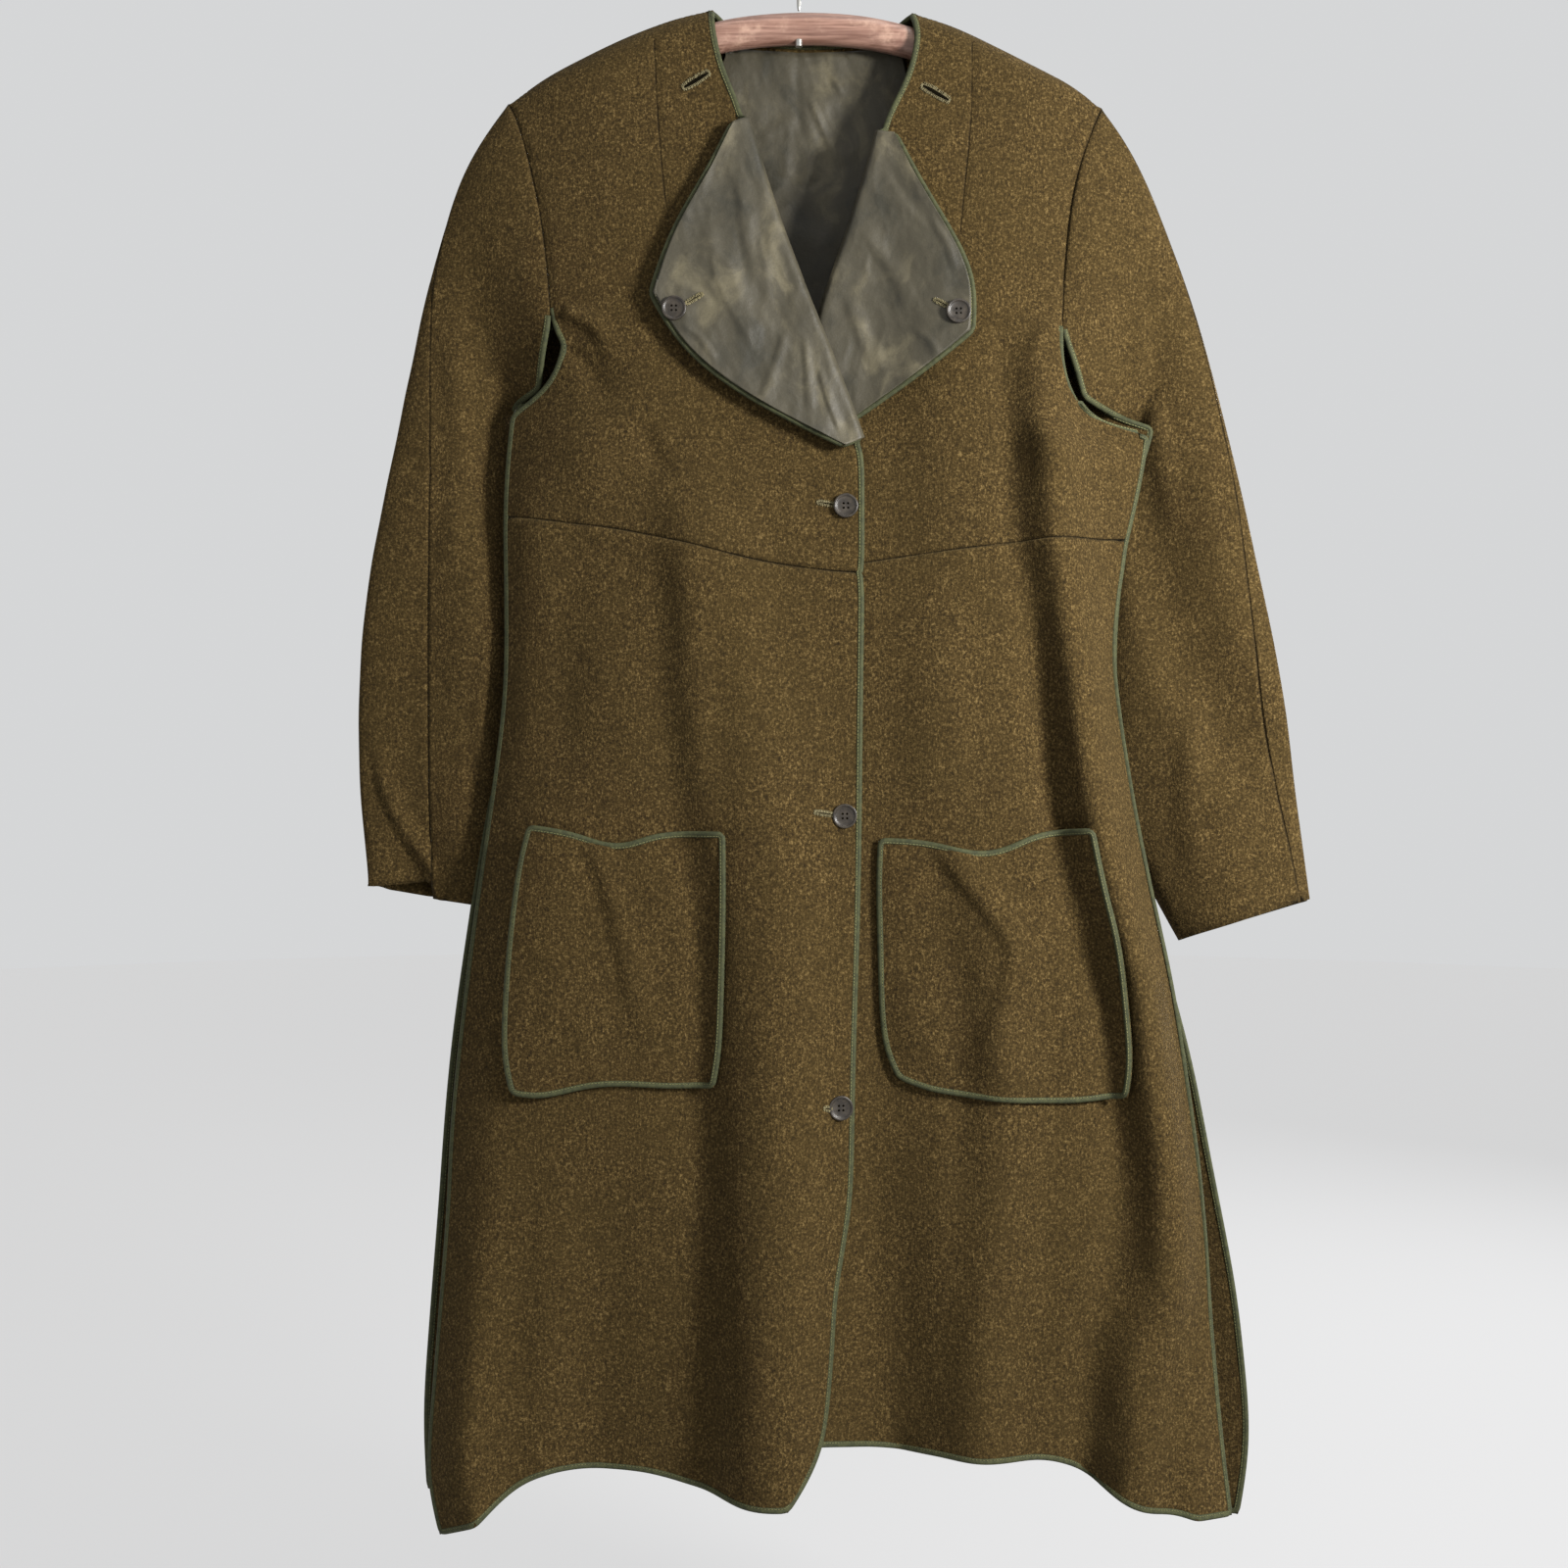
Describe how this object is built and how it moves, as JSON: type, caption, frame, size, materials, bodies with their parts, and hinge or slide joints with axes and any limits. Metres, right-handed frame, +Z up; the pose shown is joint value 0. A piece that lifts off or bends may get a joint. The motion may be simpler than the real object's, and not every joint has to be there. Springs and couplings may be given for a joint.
{
  "type": "wool overcoat on a clothes hanger",
  "caption": "Collarless wool overcoat with satin-faced turned lapels, patch pockets and tape-bound edges, hanging from a curved wooden hanger with a steel hook.",
  "frame": {"origin": "inside of the hook's crook at its top, where the hanger bears on a rail", "axes": "+Z up, opposite to the way the coat hangs; -Y towards the front of the coat; +X towards the wearer's left"},
  "size_m": [0.7173, 0.1157, 1.2018],
  "materials": {
    "wool": "heathered olive-drab wool, felted, with a short nap",
    "satin": "grey-green lining satin with a soft sheen",
    "tape": "dark green rolled binding tape, stitched",
    "button": "dark brown, turned, with a raised rim",
    "wood": "worn reddish-brown varnish",
    "steel": "plain drawn wire"
  },
  "bodies": {
    "root": {"back": "wool", "back_lining": "satin", "button_front_1": "button", "button_front_2": "button", "button_front_3": "button", "button_lapel_left": "button", "button_lapel_right": "button", "hanger_bar": "wood", "hanger_hook": "steel", "lapel_facing_left": "satin", "lapel_facing_right": "satin", "lower_front_left": "wool", "lower_front_right": "wool", "pocket_left": "wool", "pocket_right": "wool", "sleeve_left_back": "wool", "sleeve_left_front": "wool", "sleeve_right_back": "wool", "sleeve_right_front": "wool", "tape_back": "tape", "tape_back_neck": "tape", "tape_front_left": "tape", "tape_front_right": "tape", "tape_pocket_left": "tape", "tape_pocket_right": "tape", "tape_sleeve_left": "tape", "tape_sleeve_right": "tape", "upper_front_left": "wool", "upper_front_right": "wool"}
  },
  "joints": []
}
